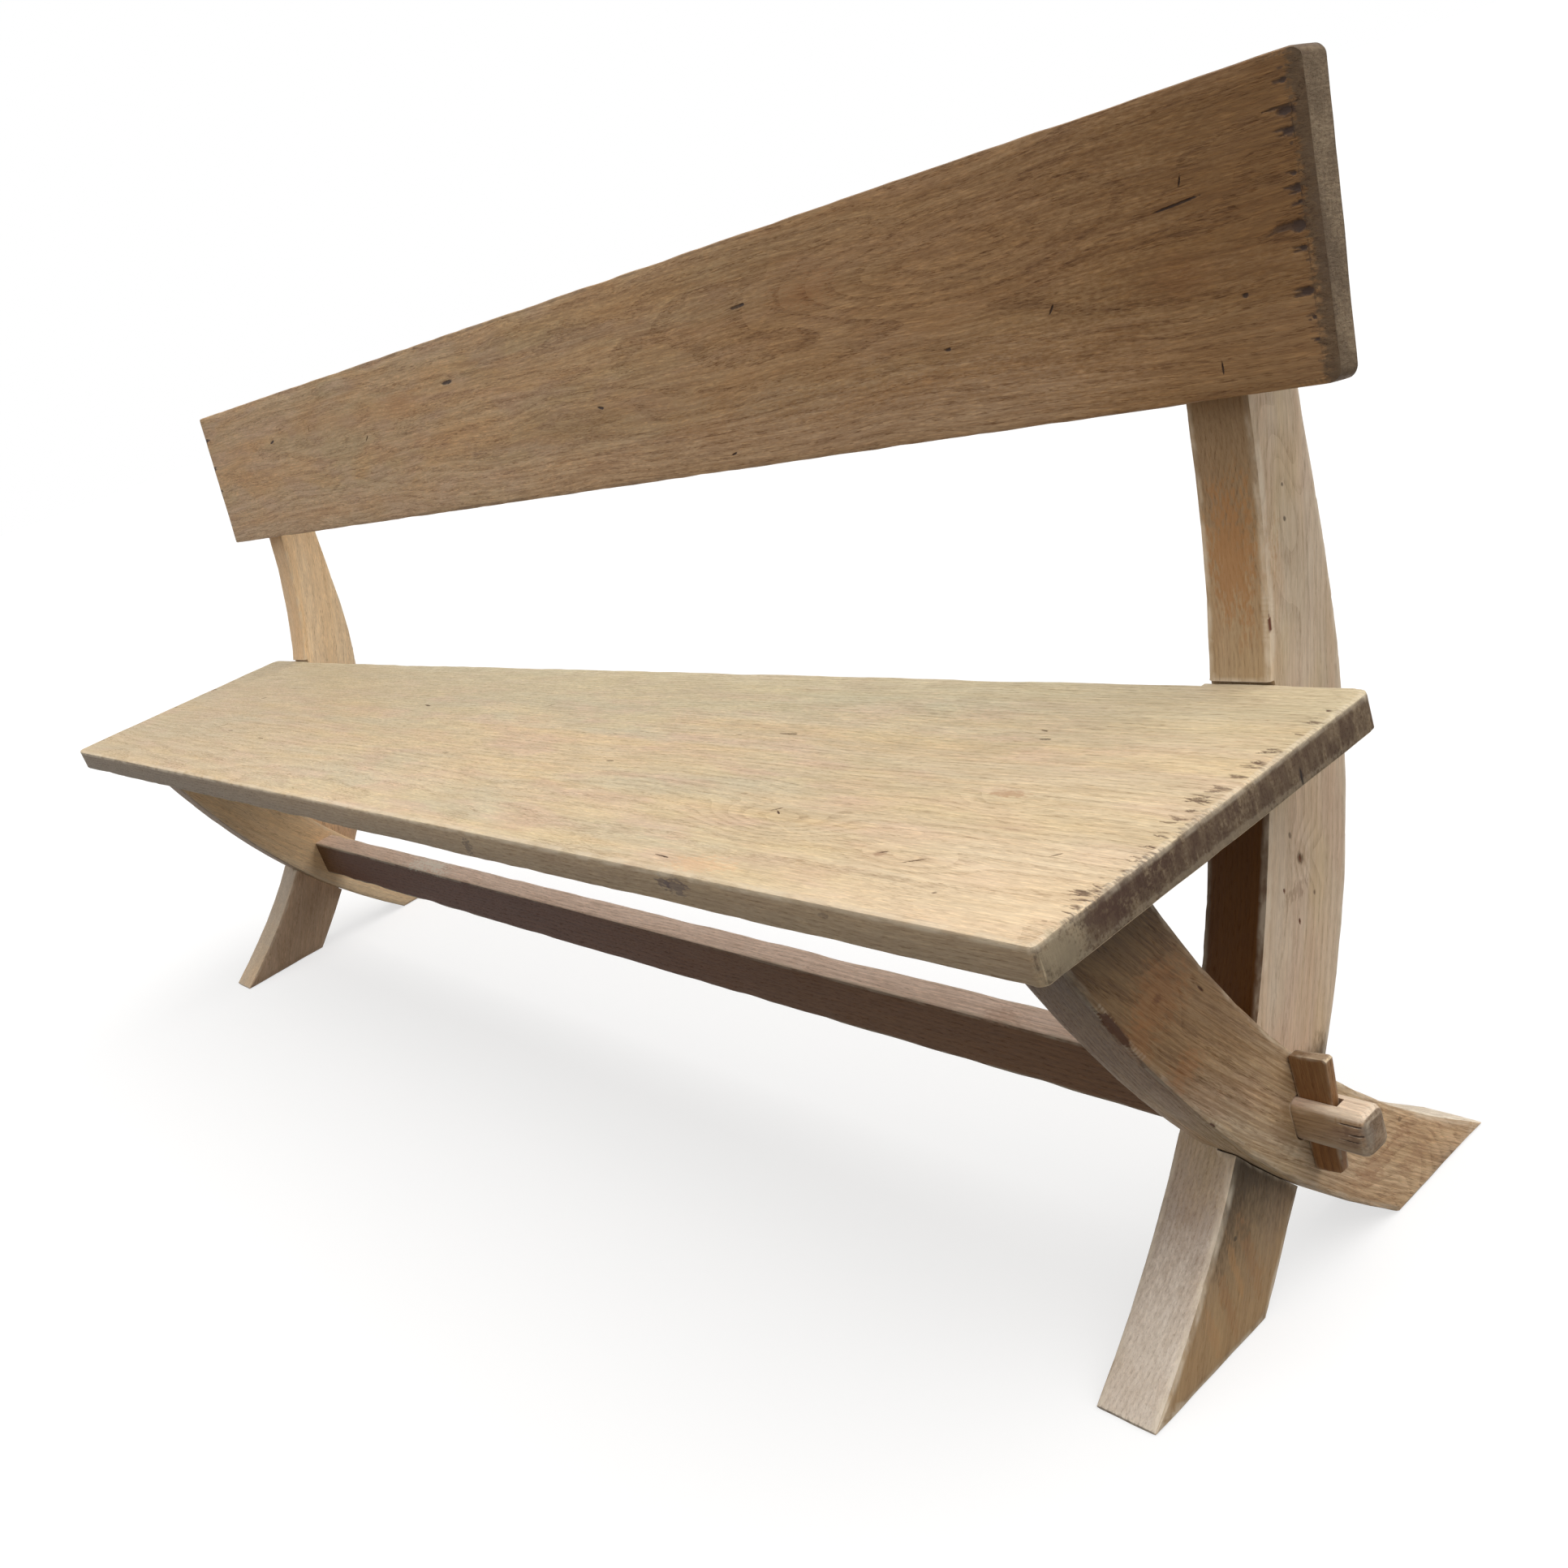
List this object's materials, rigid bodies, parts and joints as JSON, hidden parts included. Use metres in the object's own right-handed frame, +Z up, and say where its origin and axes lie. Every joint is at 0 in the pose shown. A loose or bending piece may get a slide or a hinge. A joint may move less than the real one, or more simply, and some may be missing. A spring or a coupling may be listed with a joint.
{
  "type": "bench with back",
  "caption": "Long oak bench with a raked plank back and a plank seat on crossed curved end frames, tied by a through stretcher locked with sliding wedges.",
  "frame": {"origin": "on the floor, under the middle of the bench's box", "axes": "+X along the bench, to the right as seen from the front; +Y from the front edge of the seat to the back; +Z up"},
  "size_m": [2.129, 0.4886, 0.8624],
  "materials": {
    "seat_oak": "bare, pale, lightly worn",
    "back_oak": "bare, mid brown, open grain",
    "frame_oak": "bare, warm, hand finished",
    "stretcher_oak": "bare, rubbed",
    "wedge_oak": "bare, dark",
    "steel": "plain screw, hidden"
  },
  "bodies": {
    "bench_frame": {"back_plank": "back_oak", "back_plug_left_high": "frame_oak", "back_plug_left_low": "frame_oak", "back_plug_right_high": "frame_oak", "back_plug_right_low": "frame_oak", "back_screw_left_high": "steel", "back_screw_left_low": "steel", "back_screw_right_high": "steel", "back_screw_right_low": "steel", "dowel_left_front": "frame_oak", "dowel_left_rear": "frame_oak", "dowel_right_front": "frame_oak", "dowel_right_rear": "frame_oak", "leg_left": "frame_oak", "leg_right": "frame_oak", "post_left": "frame_oak", "post_right": "frame_oak", "seat_plank": "seat_oak", "seat_plug_left_inner": "frame_oak", "seat_plug_left_outer": "frame_oak", "seat_plug_right_inner": "frame_oak", "seat_plug_right_outer": "frame_oak", "seat_screw_left_inner": "steel", "seat_screw_left_outer": "steel", "seat_screw_right_inner": "steel", "seat_screw_right_outer": "steel", "stretcher": "stretcher_oak"},
    "wedge_right": {"wedge_right": "wedge_oak"},
    "wedge_left": {"wedge_left": "wedge_oak"}
  },
  "joints": [
    {"name": "wedge_right_slide", "type": "slide", "parent": "bench_frame", "child": "wedge_right", "axis": [0, 0, 1], "range_m": [0, 0.07]},
    {"name": "wedge_left_slide", "type": "slide", "parent": "bench_frame", "child": "wedge_left", "axis": [0, 0, 1], "range_m": [0, 0.07]}
  ]
}
